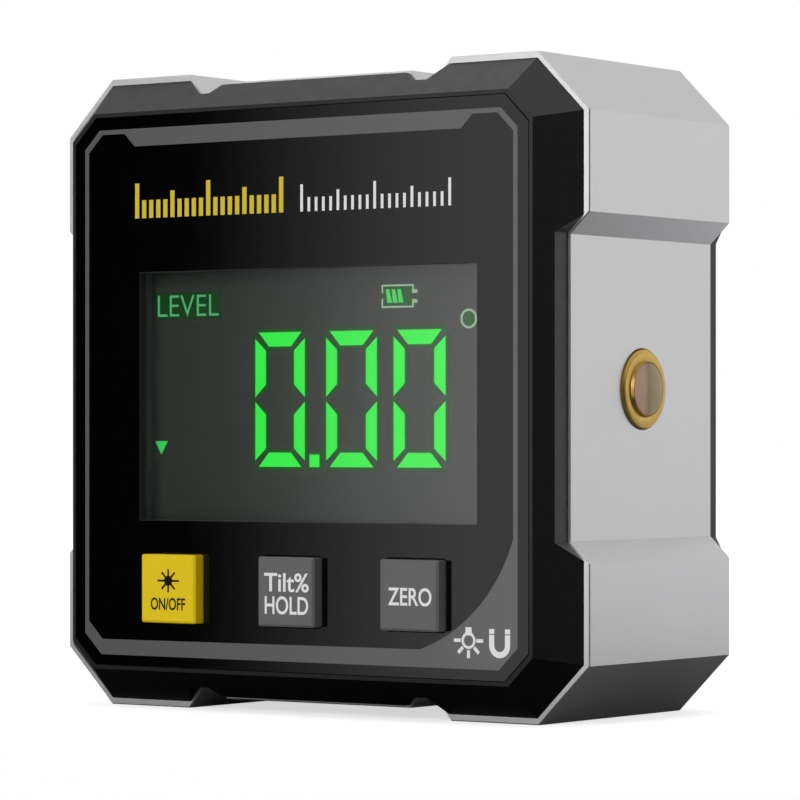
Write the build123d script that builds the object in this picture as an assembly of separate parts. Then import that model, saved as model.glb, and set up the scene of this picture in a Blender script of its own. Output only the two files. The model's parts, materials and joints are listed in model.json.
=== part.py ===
"""Digital laser level in a 60 mm box.

A silver aluminium frame is clamped between two bevelled black covers. The display, its board
and the three buttons sit behind the front cover, the laser looks out of the right-hand recess,
and two cells lie behind a door in the rear cover. Millimetres, +Z up, front towards -Y. The
origin is at the bottom centre of the whole box.
"""
import os
from math import asin, cos, degrees, pi, sin

from build123d import *

# Aluminium frame
side = 60.0                # width and height of the frame
frame_depth = 24.0         # front face to rear face
frame_corner = 5.4         # leg of the chamfer on each outer corner
frame_wall = 2.5           # wall behind the side recess
inner_corner = 3.0         # leg of the chamfer in each inner corner
frame_edge = 0.1           # broken edge round both faces
foot_length = 14.9         # corner foot, from the side of the frame, top and bottom
foot_slope = 1.5           # run of the slope from the foot to the notch floor
notch_length = 2.2         # floor of the notch
pad_slope = 0.75           # run of the slope from the notch floor to the middle pad
notch_drop = 1.85          # notch floor below the corner feet
pad_drop = 1.0             # middle pad below the corner feet
recess_depth = 2.05        # recess in the left and right sides
recess_inset = 14.45       # recess mouth, from the top and bottom of the frame
recess_slope = 1.95        # run of the slope from the mouth to the recess floor

# Covers
cover_ledge = 0.6          # silver left bare outside each cover
notch_ledge = 0.25         # silver left bare in the notches and recesses
cover_corner = 4.9         # leg of the corner chamfer at a cover's foot
front_rise = 3.7           # front cover above the frame
front_bevel = 3.0          # run of the front cover's bevel
front_rim_corner = 2.6     # leg of the chamfer on the front rim
rear_rise = 2.5            # rear cover behind the frame
rear_bevel = 3.2           # run of the rear cover's bevel
rear_rim_corner = 2.4      # leg of the chamfer on the flat back
lip_depth = 1.6            # locating lip that enters the frame
lip_wall = 1.2             # thickness of that lip
lip_gap = 0.2              # gap between the lip and the frame
cover_wall = 1.6           # moulded wall of both covers

# Front panel and window
rim_width = 0.45           # rim left outside the glossy panel
panel_corner = 2.5         # leg of the chamfer on the panel
panel_thickness = 0.6
panel_gap = 0.08           # gap round the panel in its recess
window_from_left = 7.75    # edge of the panel to the display window
window_from_right = 5.45
window_from_top = 14.75
pane_thickness = 0.8
pane_overlap = 0.9         # pane held behind the panel all round
pane_gap = 0.1

# Display module and board
glass_thickness = 1.8
glass_margin_x = 1.9       # glass beyond the window left and right
glass_margin_z = 1.0       # glass beyond the window above and below
guide_thickness = 2.0
guide_inset = 1.3          # light guide inside the glass, at its right and its top
guide_bottom_inset = 3.9   # the same above the contact strip
guide_corner = 0.3
holder_wall = 1.0
holder_floor = 1.0
display_gap = 0.1          # assembly gap round the glass and the guide
led_length = 3.2
led_depth = 1.2
led_height = 1.4
led_spacing = 12.0
strip_width = 1.8          # rubber contact strip under the display glass
strip_inset = 0.4
board_thickness = 1.2
board_gap = 1.5            # board to the frame
standoff_radius = 2.2
standoff_clearance = 2.5   # standoffs above the display's holder
standoff_to_post = 5.7     # standoff to the post beside it, along X
board_screw_radius = 0.8
board_screw_length = 4.0
board_head_radius = 1.6
board_head_height = 1.1
pin_pitch = 0.8            # legs of the chips
pin_reach = 0.8
pin_width = 0.4
chip_lift = 0.15           # chips above the board
chip_edge = 0.2
controller_width = 9.0
controller_height = 7.0
controller_thickness = 1.4
controller_pins = 11
controller_inset = 3.45    # edge of the board to the controller
controller_rise = 4.0      # controller above the middle
sensor_width = 5.0
sensor_height = 4.0
sensor_thickness = 1.2
sensor_pins = 5
sensor_drop = 1.0          # tilt sensor below the standoffs

# Buttons
button_width = 6.45
button_height = 6.4
button_rise = 1.2          # button face above the panel
button_inset = 7.4         # lower edge of the panel to the middle of the row
button_post_gap = 0.65     # outer buttons' flanges to the posts beside them
button_gap = 0.15          # gap round each button
button_edge = 0.2          # broken edge of the button face
button_corner = 0.25       # rounded upright edges of the button
button_flange_x = 0.8      # flange that keeps the button in, at its sides
button_flange_z = 0.55     # the same flange above and below
button_flange_thickness = 0.7
button_holder_gap = 0.5    # flanges to the display's holder above them
button_rest_gap = 0.15     # flange to the cover at rest
button_travel = 0.3
stem_side = 3.6
plunger_radius = 1.6
plunger_rise = 0.9         # plunger out of the switch at rest
plunger_entry = 1.0        # plunger inside the switch at rest
switch_side = 6.0
switch_corner = 0.4
switch_bore_gap = 0.2
switch_floor = 0.6

# Laser, on an axis along X through the middle of the right-hand recess
barrel_radius = 3.6
barrel_tail_radius = 3.3
barrel_flange_radius = 4.7
barrel_flange_thickness = 1.0
barrel_proud = 0.3         # barrel lip outside the recess floor
barrel_lip_edge = 0.1
bore_radius = 2.45
mouth_radius = 3.4         # wide end of the cone in the barrel's mouth
mouth_depth = 0.7
lens_depth = 1.3           # lens below the barrel's lip
lens_thickness = 1.4
lens_crown = 0.5
fit_gap = 0.05             # gap of turned pieces in their bores
hole_edge = 0.1            # broken edge of the laser hole
can_radius = 2.3
can_length = 2.4
can_flange_radius = 2.8
can_flange_thickness = 1.2
pin_radius = 0.25
pin_circle = 1.1
pin_length = 1.6
driver_side = 6.4          # little board behind the laser
driver_thickness = 1.0
driver_gap = 1.0           # that board to the battery compartment
mount_width = 4.0
mount_wall = 2.0

# Battery compartment, cells along Z
cell_radius = 5.2
spring_room = 2.3          # left for the spring at the flat end of a cell
nub_radius = 1.9
nub_height = 1.0
cell_edge = 0.4
cell_gap = 0.25            # gap round each cell
cell_separation = 0.3      # gap between the two cells
cell_cover_gap = 0.4       # cells to the door
tray_wall = 1.6
tray_end_wall = 1.3
tray_floor = 1.0
tray_slack = 0.35          # tray ends to the frame
contact_thickness = 0.4
contact_width = 7.4
contact_leg = 2.5
contact_foot = 2.0         # soldered foot on the board
spring_wire = 0.25         # radius of the wire
spring_turns = 2.5
spring_steps = 10          # places set along each turn
spring_wide = 3.0
spring_narrow = 2.0

# Battery door
door_thickness = 1.2
door_gap = 0.3             # gap round the door
door_ledge = 0.8           # ledge under the door's edge
door_seat_gap = 0.2        # door above its ledge
door_corner = 1.2
finger_width = 9.0         # spring finger cut in the door's lower end
finger_length = 7.0
finger_slot = 0.7
nail_radius = 4.0          # hollow in the cover for a fingernail
nail_depth = 0.8
grip_count = 4
grip_pitch = 1.5
grip_width = 0.6
grip_depth = 0.35
lug_width = 3.0
lug_depth = 1.6
lug_thickness = 0.8

# Screws that clamp the covers through the frame
post_inset_x = 4.25        # inner wall of the frame to the middle of a post
post_inset_z = 3.95
post_radius = 2.7
screw_radius = 1.0
screw_length = 12.0
screw_head_radius = 1.9
screw_head_height = 1.3
screw_head_sink = 2.5      # head seat below the rear cover's face
screw_gap = 0.1
screw_grip = 4.0           # thread in the front post
pilot_slack = 2.0          # pilot hole beyond the screw's tip
slot_width = 0.5           # arms of the cross recess in a screw head
slot_depth = 0.5
slot_reach = 0.6           # share of the head's radius that an arm covers

# Magnets in the base
magnet_radius = 3.5
magnet_thickness = 2.0
magnet_sink = 0.1
magnet_margin = 3.0        # magnets to the faces of the frame

# Tools that cut right through run on by this much
overrun = 1.0

# Planes that the sizes above lead to
half = side / 2
mid_z = half
foot_start = half - foot_length
notch_outer = foot_start - foot_slope
notch_inner = notch_outer - notch_length
pad_half = notch_inner - pad_slope
recess_mouth_half = half - recess_inset
recess_floor_half = recess_mouth_half - recess_slope
overall_depth = button_rise + front_rise + frame_depth + rear_rise
frame_front = -overall_depth / 2 + button_rise + front_rise
frame_back = frame_front + frame_depth
panel_face = frame_front - front_rise
cover_back = panel_face + panel_thickness + cover_wall
rear_face = frame_back + rear_rise
rear_inside = rear_face - cover_wall
inner_half = half - recess_depth - frame_wall
recess_x = half - recess_depth
cover_half = half - cover_ledge
lip_half = inner_half - lip_gap
front_rim_half = cover_half - front_bevel
rear_rim_half = cover_half - rear_bevel
panel_half = front_rim_half - rim_width
post_x = inner_half - post_inset_x
post_z = inner_half - post_inset_z
button_level = mid_z - panel_half + button_inset
button_pitch = post_x - post_radius - button_post_gap - button_flange_x - button_width / 2
holder_rim = display_gap + holder_wall
holder_bottom = button_level + button_height / 2 + button_flange_z + button_holder_gap
glass_front = cover_back + display_gap
glass_back = glass_front + glass_thickness
board_front = glass_back + guide_thickness + 2 * display_gap + holder_floor
board_back = board_front + board_thickness
board_half = inner_half - board_gap
laser_y = (frame_front + frame_back) / 2
barrel_lip = recess_x + barrel_proud
window_left = window_from_left - panel_half
window_right = panel_half - window_from_right
window_bottom = holder_bottom + holder_rim + glass_margin_z
window_top = mid_z + panel_half - window_from_top
window_x = (window_left + window_right) / 2
window_z = (window_bottom + window_top) / 2
window_width = window_right - window_left
window_height = window_top - window_bottom
glass_width = window_width + 2 * glass_margin_x
glass_height = window_height + 2 * glass_margin_z
standoff_x = post_x - standoff_to_post
holder_top = window_top + glass_margin_z + holder_rim
standoff_z = holder_top + standoff_clearance + standoff_radius
door_outer_seat = rear_face - door_thickness - door_seat_gap
cell_y = door_outer_seat + door_seat_gap - cell_cover_gap - cell_radius
cell_x = cell_radius + cell_separation / 2
tray_half_x = cell_x + cell_radius + cell_gap
tray_outer_x = tray_half_x + tray_wall
tray_outer_z = inner_half - tray_slack
tray_half_z = tray_outer_z - tray_end_wall
tray_front = cell_y - cell_radius - cell_gap - tray_floor
door_half_x = tray_half_x + door_ledge
door_half_z = tray_half_z + door_ledge - door_gap
barrel_tail_x = tray_outer_x + driver_gap + driver_thickness + pin_length
mount_x = (barrel_tail_x + inner_half - barrel_flange_thickness - mount_width) / 2
cell_length = 2 * (tray_half_z - contact_thickness) - spring_room
screw_seat = rear_face - screw_head_sink
screw_tip = screw_seat - screw_length
post_split = screw_tip + screw_grip


def facing(y):
    """Plane square to Y, drawn in X and Z, that looks out of the front."""
    return Plane(origin=(0, y, 0), x_dir=(1, 0, 0), z_dir=(0, -1, 0))


def slab(profile, y_near, y_far):
    """Profile in X and Z, extruded from y_near back to y_far."""
    return extrude(facing(y_far) * profile, amount=y_far - y_near, dir=(0, -1, 0))


def block(x_from, x_to, y_from, y_to, z_from, z_to):
    """Box between two corners."""
    size = (x_to - x_from, y_to - y_from, z_to - z_from)
    return Pos(x_from, y_from, z_from) * Box(*size, align=(Align.MIN,) * 3)


def rod_y(x, z, radius, y_near, y_far):
    """Round bar along the depth."""
    return slab(Pos(x, z) * Circle(radius), y_near, y_far)


def octagon(half_size, corner):
    """Square with its corners cut off, centred on the box."""
    near = half_size - corner
    points = [(near, half_size), (half_size, near), (half_size, -near), (near, -half_size)]
    points += [(-x, z) for x, z in reversed(points)]
    return Pos(0, mid_z) * Polygon(*points, align=None)


def notched_square():
    """Frame outline: corner feet, notches and pad top and bottom, and the two side recesses."""
    quarter = [
        (pad_half, half - pad_drop),
        (notch_inner, half - notch_drop),
        (notch_outer, half - notch_drop),
        (foot_start, half),
        (half - frame_corner, half),
        (half, half - frame_corner),
        (half, recess_mouth_half),
        (recess_x, recess_floor_half),
    ]
    right = quarter + [(x, -z) for x, z in reversed(quarter)]
    outline = right + [(-x, z) for x, z in reversed(right)]
    return Pos(0, mid_z) * Polygon(*outline, align=None)


def covered_outline(half_size, corner):
    """Foot of a cover: the frame outline drawn in by its ledges."""
    inner = offset(notched_square(), amount=-notch_ledge, kind=Kind.INTERSECTION)
    return inner & octagon(half_size, corner)


def four_posts():
    """Places of the four clamping screws, in X and Z."""
    return [(sx * post_x, mid_z + sz * post_z) for sx in (-1, 1) for sz in (-1, 1)]


def button_places():
    """Middle of each button along X, from left to right."""
    return {"power": -button_pitch, "hold": 0.0, "zero": button_pitch}


def standoff_places():
    """Places of the two posts that carry the board, in X and Z."""
    return [(sx * standoff_x, standoff_z) for sx in (-1, 1)]


def magnet_places():
    """Places of the base magnets, in X and Y."""
    middle_x = (foot_start + half - frame_corner) / 2
    middle_y = (frame_front + frame_back) / 2
    reach = frame_depth / 2 - magnet_margin - magnet_radius
    return {
        f"base_magnet_{name_x}_{name_y}": (sx * middle_x, middle_y + sy * reach)
        for name_x, sx in (("left", -1), ("right", 1))
        for name_y, sy in (("front", -1), ("rear", 1))
    }


def mid_frame():
    body = slab(notched_square(), frame_front, frame_back)
    rims = body.edges().filter_by_position(Axis.Y, frame_front, frame_front)
    rims += body.edges().filter_by_position(Axis.Y, frame_back, frame_back)
    body = chamfer(rims, frame_edge)
    body -= slab(octagon(inner_half, inner_corner), frame_front, frame_back)
    hole_radius = barrel_radius + fit_gap
    hole = Plane(origin=(inner_half - overrun, laser_y, mid_z), z_dir=(1, 0, 0))
    mouth = Plane(origin=(recess_x - hole_edge, laser_y, mid_z), z_dir=(1, 0, 0))
    body -= extrude(hole * Circle(hole_radius), amount=frame_wall + 2 * overrun)
    body -= mouth * Cone(hole_radius, hole_radius + hole_edge, hole_edge,
                         align=(Align.CENTER, Align.CENTER, Align.MIN))
    for x, y in magnet_places().values():
        depth = magnet_thickness + magnet_sink
        body -= Pos(x, y, 0) * Cylinder(magnet_radius + fit_gap, depth,
                                        align=(Align.CENTER, Align.CENTER, Align.MIN))
    return body


def base_magnet(x, y):
    return Pos(x, y, magnet_sink) * Cylinder(magnet_radius, magnet_thickness,
                                             align=(Align.CENTER, Align.CENTER, Align.MIN))


def bevelled_cover(foot_y, top_y, rim_half, rim_corner):
    """Frustum between a cover's foot and its flat face, with the notches cut through it."""
    foot = facing(foot_y) * octagon(cover_half, cover_corner)
    top = facing(top_y) * octagon(rim_half, rim_corner)
    frustum = loft([foot.face(), top.face()], ruled=True)
    near, far = sorted((foot_y, top_y))
    return frustum & slab(covered_outline(cover_half, cover_corner), near, far)


def button_opening(x, gap):
    opening = Rectangle(button_width + 2 * gap, button_height + 2 * gap)
    return Pos(x, button_level) * fillet(opening.vertices(), button_corner + gap)


def front_cover():
    body = bevelled_cover(frame_front, panel_face, front_rim_half, front_rim_corner)
    body += slab(octagon(lip_half, inner_corner), frame_front, frame_front + lip_depth)
    hollow = octagon(lip_half - lip_wall, inner_corner)
    body -= slab(hollow, cover_back, frame_front + lip_depth)
    bed = octagon(panel_half + panel_gap, panel_corner)
    body -= slab(bed, panel_face, panel_face + panel_thickness)
    window = Pos(window_x, window_z) * Rectangle(window_width, window_height)
    body -= slab(window, panel_face, cover_back)
    seat_grow = 2 * (pane_overlap + pane_gap)
    seat = Rectangle(window_width + seat_grow, window_height + seat_grow)
    seat_y = panel_face + panel_thickness
    body -= slab(Pos(window_x, window_z) * seat, seat_y, seat_y + pane_thickness)
    for x in button_places().values():
        body -= slab(button_opening(x, button_gap), panel_face, cover_back)
    for x, z in standoff_places():
        body += rod_y(x, z, standoff_radius, cover_back, board_front)
        body -= rod_y(x, z, board_screw_radius + fit_gap, board_back - board_screw_length,
                      board_front)
    for x, z in four_posts():
        body += rod_y(x, z, post_radius, cover_back, post_split)
        body -= rod_y(x, z, screw_radius + screw_gap / 2, screw_tip - pilot_slack, post_split)
    return body


def front_panel():
    sheet = octagon(panel_half, panel_corner)
    sheet -= Pos(window_x, window_z) * Rectangle(window_width, window_height)
    for x in button_places().values():
        sheet -= button_opening(x, button_gap)
    return slab(sheet, panel_face, panel_face + panel_thickness)


def display_window():
    pane = Rectangle(window_width + 2 * pane_overlap, window_height + 2 * pane_overlap)
    back = panel_face + panel_thickness
    return slab(Pos(window_x, window_z) * pane, back, back + pane_thickness)


def centred_rectangle(width, height):
    """Rectangle centred on the display window."""
    return Pos(window_x, window_z) * Rectangle(width, height)


def lcd_glass():
    return slab(centred_rectangle(glass_width, glass_height), glass_front, glass_back)


def guide_size():
    width = glass_width - 2 * guide_inset - led_depth
    return width, glass_height - guide_inset - guide_bottom_inset


def guide_middle():
    return window_x + led_depth / 2, window_z + (guide_bottom_inset - guide_inset) / 2


def light_guide():
    width, height = guide_size()
    x, z = guide_middle()
    near = glass_back + display_gap
    body = slab(Pos(x, z) * Rectangle(width, height), near, near + guide_thickness)
    return chamfer(body.edges().filter_by(Axis.Z), guide_corner)


def led_blocks(grow):
    """The two side lamps of the light guide, or their pockets when grow is above zero."""
    width, _ = guide_size()
    x, z = guide_middle()
    edge = x - width / 2 - display_gap
    near = glass_back + display_gap
    lamps = []
    for sz in (-1, 1):
        middle = z + sz * led_spacing / 2
        lamps.append(block(edge - led_depth - grow, edge + grow, near,
                           near + led_height + grow, middle - led_length / 2 - grow,
                           middle + led_length / 2 + grow))
    return lamps


def strip_block(grow):
    """The contact strip under the display's lower edge, or its slot."""
    bottom = window_z - glass_height / 2 + strip_inset
    reach = glass_width / 2 - strip_inset
    return block(window_x - reach - grow, window_x + reach + grow, glass_back, board_front,
                 bottom - grow, bottom + strip_width + grow)


def lcd_holder():
    grow = 2 * holder_rim
    body = slab(centred_rectangle(glass_width + grow, glass_height + grow), glass_front,
                board_front)
    gap = 2 * display_gap
    body -= slab(centred_rectangle(glass_width + gap, glass_height + gap), glass_front,
                 glass_back)
    width, height = guide_size()
    x, z = guide_middle()
    pocket = Pos(x, z) * Rectangle(width + gap, height + gap)
    body -= slab(pocket, glass_back, board_front - holder_floor)
    for lamp in led_blocks(display_gap):
        body -= lamp
        corner = lamp.bounding_box()
        body -= block(corner.min.X, corner.max.X, glass_back, corner.max.Y, corner.min.Z,
                      corner.max.Z)
    return body - strip_block(display_gap)


def circuit_board():
    sheet = octagon(board_half, inner_corner)
    for x, z in four_posts():
        sheet -= Pos(x, z) * Circle(post_radius + 2 * lip_gap)
    for x, z in standoff_places():
        sheet -= Pos(x, z) * Circle(board_screw_radius + fit_gap)
    return slab(sheet, board_front, board_back)


def chip(x, z, width, height, thickness, pins):
    """Moulded package on the back of the board, with its legs along two sides."""
    body = slab(Pos(x, z) * Rectangle(width, height), board_back + chip_lift,
                board_back + chip_lift + thickness)
    body = chamfer(body.edges().group_by(Axis.Y)[-1], chip_edge)
    for i in range(pins):
        along = x + (i - (pins - 1) / 2) * pin_pitch
        for sz in (-1, 1):
            inner = z + sz * (height / 2 - chip_lift)
            outer = z + sz * (height / 2 + pin_reach)
            low, high = sorted((inner, outer))
            body += block(along - pin_width / 2, along + pin_width / 2, board_back,
                          board_back + 2 * chip_lift, low, high)
    return body


def controller_chip():
    x = controller_inset + controller_width / 2 - board_half
    return chip(x, mid_z + controller_rise, controller_width, controller_height,
                controller_thickness, controller_pins)


def tilt_sensor():
    return chip(0, standoff_z - sensor_drop, sensor_width, sensor_height, sensor_thickness,
                sensor_pins)


def cross_screw(x, z, seat, radius, length, head_radius, head_height):
    """Screw along the depth, with its head on the seat and a cross recess facing +Y."""
    face = seat + head_height
    head = rod_y(x, z, head_radius, seat, face)
    arm = 2 * slot_reach * head_radius
    cross = Pos(x, z) * (Rectangle(arm, slot_width) + Rectangle(slot_width, arm))
    return head + rod_y(x, z, radius, seat - length, seat) - slab(cross, face - slot_depth, face)


def board_screws():
    return [cross_screw(x, z, board_back, board_screw_radius, board_screw_length,
                        board_head_radius, board_head_height)
            for x, z in standoff_places()]


def button(x):
    top = panel_face - button_rise
    flange_near = cover_back + button_rest_gap
    flange_far = flange_near + button_flange_thickness
    body = slab(button_opening(x, 0), top, flange_near)
    body = chamfer(body.edges().group_by(Axis.Y)[0], button_edge)
    flange = Rectangle(button_width + 2 * button_flange_x, button_height + 2 * button_flange_z)
    body += slab(Pos(x, button_level) * flange, flange_near, flange_far)
    stem = Pos(x, button_level) * Rectangle(stem_side, stem_side)
    return body + slab(stem, flange_far, plunger_tip())


def switch_front():
    """Front of the switch bodies, set by the stem's reach and the plunger's rise."""
    return plunger_tip() + plunger_rise


def plunger_tip():
    return cover_back + button_rest_gap + button_flange_thickness + button_travel


def plunger(x):
    return rod_y(x, button_level, plunger_radius, plunger_tip(), switch_front() + plunger_entry)


def switch(x):
    face = Pos(x, button_level) * Rectangle(switch_side, switch_side)
    body = slab(face, switch_front(), board_front)
    body = chamfer(body.edges().filter_by(Axis.Y), switch_corner)
    return body - rod_y(x, button_level, plunger_radius + switch_bore_gap, switch_front(),
                        board_front - switch_floor)


def turned(points):
    """Solid of revolution about the laser axis, from points of (x, radius)."""
    section = make_face(Plane.XY * Polyline(*points, close=True))
    return Pos(0, laser_y, mid_z) * revolve(section, Axis.X)


def laser_barrel():
    flange_out = inner_half
    flange_in = flange_out - barrel_flange_thickness
    seat = barrel_tail_x + can_flange_thickness
    return turned([
        (barrel_lip - mouth_depth, bore_radius),
        (barrel_lip, mouth_radius),
        (barrel_lip, barrel_radius - barrel_lip_edge),
        (barrel_lip - barrel_lip_edge, barrel_radius),
        (flange_out, barrel_radius),
        (flange_out, barrel_flange_radius),
        (flange_in, barrel_flange_radius),
        (flange_in, barrel_tail_radius),
        (barrel_tail_x, barrel_tail_radius),
        (barrel_tail_x, can_flange_radius + fit_gap),
        (seat, can_flange_radius + fit_gap),
        (seat, bore_radius),
    ])


def laser_lens():
    radius = bore_radius - fit_gap
    front = barrel_lip - lens_depth
    back = front - lens_thickness
    rim = front - lens_crown
    crown_radius = (radius ** 2 + lens_crown ** 2) / (2 * lens_crown)
    sides = Polyline((front, 0), (back, 0), (back, radius), (rim, radius))
    crown = CenterArc((front - crown_radius, 0), crown_radius, 0,
                      degrees(asin(radius / crown_radius)))
    return Pos(0, laser_y, mid_z) * revolve(make_face([sides, crown]), Axis.X)


def laser_diode():
    flange_far = barrel_tail_x + can_flange_thickness
    tip = flange_far + can_length
    can = turned([
        (barrel_tail_x, 0),
        (barrel_tail_x, can_flange_radius),
        (flange_far, can_flange_radius),
        (flange_far, can_radius),
        (tip, can_radius),
        (tip, 0),
    ])
    for i in range(3):
        angle = pi / 2 + i * 2 * pi / 3
        foot = (barrel_tail_x, laser_y + pin_circle * cos(angle),
                mid_z + pin_circle * sin(angle))
        can += extrude(Plane(origin=foot, z_dir=(-1, 0, 0)) * Circle(pin_radius),
                       amount=pin_length)
    return can


def laser_board():
    far = barrel_tail_x - pin_length
    reach = driver_side / 2
    return block(far - driver_thickness, far, laser_y - reach, laser_y + reach,
                 mid_z - reach, mid_z + reach)


def laser_mount():
    reach = barrel_tail_radius + mount_wall
    body = block(mount_x, mount_x + mount_width, board_back, laser_y, mid_z - reach,
                 mid_z + reach)
    ring = Plane(origin=(mount_x, laser_y, mid_z), z_dir=(1, 0, 0))
    body += extrude(ring * Circle(reach), amount=mount_width)
    return body - extrude(ring * Circle(barrel_tail_radius + fit_gap), amount=mount_width)


def rounded_plate(half_x, half_z, corner):
    plate = Rectangle(2 * half_x, 2 * half_z)
    return Pos(0, mid_z) * fillet(plate.vertices(), corner)


def rear_cover():
    body = bevelled_cover(frame_back, rear_face, rear_rim_half, rear_rim_corner)
    body += slab(octagon(lip_half, inner_corner), frame_back - lip_depth, frame_back)
    hollow = octagon(lip_half - lip_wall, inner_corner)
    body -= slab(hollow, frame_back - lip_depth, rear_inside)
    tray = Pos(0, mid_z) * Rectangle(2 * tray_outer_x, 2 * tray_outer_z)
    body += slab(tray, tray_front, rear_inside)
    for x, z in four_posts():
        body += rod_y(x, z, post_radius, post_split, rear_inside)
    mouth = Pos(0, mid_z) * Rectangle(2 * tray_half_x, 2 * tray_half_z)
    body -= slab(mouth, cell_y, rear_face)
    for sx in (-1, 1):
        cradle = Pos(sx * cell_x, cell_y, mid_z - tray_half_z)
        body -= cradle * Cylinder(cell_radius + cell_gap, 2 * tray_half_z,
                                  align=(Align.CENTER, Align.CENTER, Align.MIN))
        leg = contact_leg + 2 * cell_gap
        slot_floor = mid_z - tray_half_z
        body -= block(sx * cell_x - leg / 2, sx * cell_x + leg / 2, tray_front, cell_y,
                      slot_floor, slot_floor + contact_thickness + cell_gap)
    rebate = rounded_plate(door_half_x + door_gap, door_half_z + door_gap,
                           door_corner + door_gap)
    body -= slab(rebate, door_outer_seat, rear_face)
    body -= nail_hollow()
    for x, z in four_posts():
        body -= rod_y(x, z, screw_radius + screw_gap, post_split, screw_seat)
        body -= rod_y(x, z, screw_head_radius + screw_gap, screw_seat, rear_face)
    return body


def nail_hollow():
    """Shallow round hollow beside the door's spring finger."""
    edge = mid_z - door_half_z
    return rod_y(0, edge, nail_radius, rear_face - nail_depth, rear_face)


def battery_door():
    plate = rounded_plate(door_half_x, door_half_z, door_corner)
    edge = mid_z - door_half_z
    for sx in (-1, 1):
        plate -= Pos(sx * finger_width / 2, edge + finger_length / 2) * Rectangle(
            finger_slot, finger_length)
    back = rear_face - door_thickness
    body = slab(plate, back, rear_face)
    for i in range(grip_count):
        z = edge + finger_length + (i + 1) * grip_pitch
        body -= block(-finger_width / 2, finger_width / 2, rear_face - grip_depth, rear_face,
                      z - grip_width / 2, z + grip_width / 2)
    top = mid_z + tray_half_z - cell_gap
    for sx in (-1, 1):
        body += block(sx * cell_x - lug_width / 2, sx * cell_x + lug_width / 2,
                      back - lug_depth, back, top - lug_thickness, top)
    return body


def battery(sx, up):
    """Cell with its nub up or down, against the contact on its own side."""
    nub_end = tray_half_z - contact_thickness
    shoulder = nub_end - nub_height
    foot = nub_end - cell_length
    can = Cylinder(cell_radius, shoulder - foot, align=(Align.CENTER, Align.CENTER, Align.MIN))
    can = chamfer(can.edges().filter_by(GeomType.CIRCLE), cell_edge)
    nub = Cylinder(nub_radius, nub_height, align=(Align.CENTER, Align.CENTER, Align.MIN))
    cell = Pos(0, 0, foot) * can + Pos(0, 0, shoulder) * nub
    turn = Rot(0, 0, 0) if up else Rot(180, 0, 0)
    return Pos(sx * cell_x, cell_y, mid_z) * turn * cell


def battery_spring(sx, up):
    """Conical spring between a contact and the flat end of its cell."""
    wide_end = tray_half_z - contact_thickness - spring_wire
    narrow_end = cell_length - tray_half_z + contact_thickness + spring_wire
    height = wide_end - narrow_end
    count = int(spring_turns * spring_steps)
    path = []
    for i in range(count + 1):
        share = i / count
        radius = spring_narrow + (spring_wide - spring_narrow) * share
        angle = 2 * pi * spring_turns * share
        path.append((radius * cos(angle), radius * sin(angle), narrow_end + height * share))
    line = Spline(*path)
    section = Plane(origin=line @ 0, z_dir=line % 0) * RegularPolygon(spring_wire, 4)
    coil = sweep(section, path=line)
    turn = Rot(0, 0, 0) if up else Rot(180, 0, 0)
    return Pos(sx * cell_x, cell_y, mid_z) * turn * coil


def end_contact(sx, up):
    """Square contact for one cell, flat against an end wall of the compartment."""
    low = mid_z + tray_half_z - contact_thickness if up else mid_z - tray_half_z
    reach = contact_width / 2
    return block(sx * cell_x - reach, sx * cell_x + reach, cell_y - reach, cell_y + reach,
                 low, low + contact_thickness)


def contact_bridge():
    """Two pads joined behind the web between the cells."""
    end = mid_z + tray_half_z
    link = block(-cell_x, cell_x, cell_y, cell_y + contact_width / 2, end - contact_thickness,
                 end)
    return link + end_contact(-1, True) + end_contact(1, True)


def leg_contact(sx):
    """Lower contact whose leg runs forward to its soldered foot on the board."""
    left = sx * cell_x - contact_leg / 2
    right = left + contact_leg
    low = mid_z - tray_half_z
    leg = block(left, right, board_back, cell_y, low, low + contact_thickness)
    foot = block(left, right, board_back, board_back + contact_thickness, low,
                 low + contact_foot)
    return end_contact(sx, False) + leg + foot


def rear_screws():
    return [cross_screw(x, z, screw_seat, screw_radius, screw_length, screw_head_radius,
                        screw_head_height)
            for x, z in four_posts()]


def build_pieces():
    """Every piece of the level by name."""
    pieces = {
        "mid_frame": mid_frame(),
        "front_cover": front_cover(),
        "front_panel": front_panel(),
        "display_window": display_window(),
        "lcd_glass": lcd_glass(),
        "light_guide": light_guide(),
        "backlight_lamps": led_blocks(0),
        "lcd_contact_strip": strip_block(0),
        "lcd_holder": lcd_holder(),
        "circuit_board": circuit_board(),
        "controller_chip": controller_chip(),
        "tilt_sensor": tilt_sensor(),
        "board_screws": board_screws(),
        "laser_barrel": laser_barrel(),
        "laser_lens": laser_lens(),
        "laser_diode": laser_diode(),
        "laser_board": laser_board(),
        "laser_mount": laser_mount(),
        "rear_cover": rear_cover(),
        "battery_door": battery_door(),
        "battery_left": battery(-1, True),
        "battery_right": battery(1, False),
        "battery_spring_left": battery_spring(-1, False),
        "battery_spring_right": battery_spring(1, True),
        "contact_bridge": contact_bridge(),
        "contact_negative": leg_contact(-1),
        "contact_positive": leg_contact(1),
        "rear_screws": rear_screws(),
    }
    for name, x in button_places().items():
        pieces[f"{name}_button"] = button(x)
        pieces[f"{name}_plunger"] = plunger(x)
        pieces[f"{name}_switch"] = switch(x)
    for name, (x, y) in magnet_places().items():
        pieces[name] = base_magnet(x, y)
    return pieces


os.makedirs("parts", exist_ok=True)
for name, shape in build_pieces().items():
    solids = shape if isinstance(shape, list) else [shape]
    piece = Compound(children=[solid for item in solids for solid in item.solids()])
    piece.label = name
    export_step(piece, f"parts/{name}.step")
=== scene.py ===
"""Digital laser level: the look of every surface, the print, the display, the light and the camera.

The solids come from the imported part. What is added here is thin print on the panel and the
buttons, button caps whose faces leave room for it, the lit marks of the display, dull liners and
a mask round its window, and the collar and lens at the mouth of the laser.
"""

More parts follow.
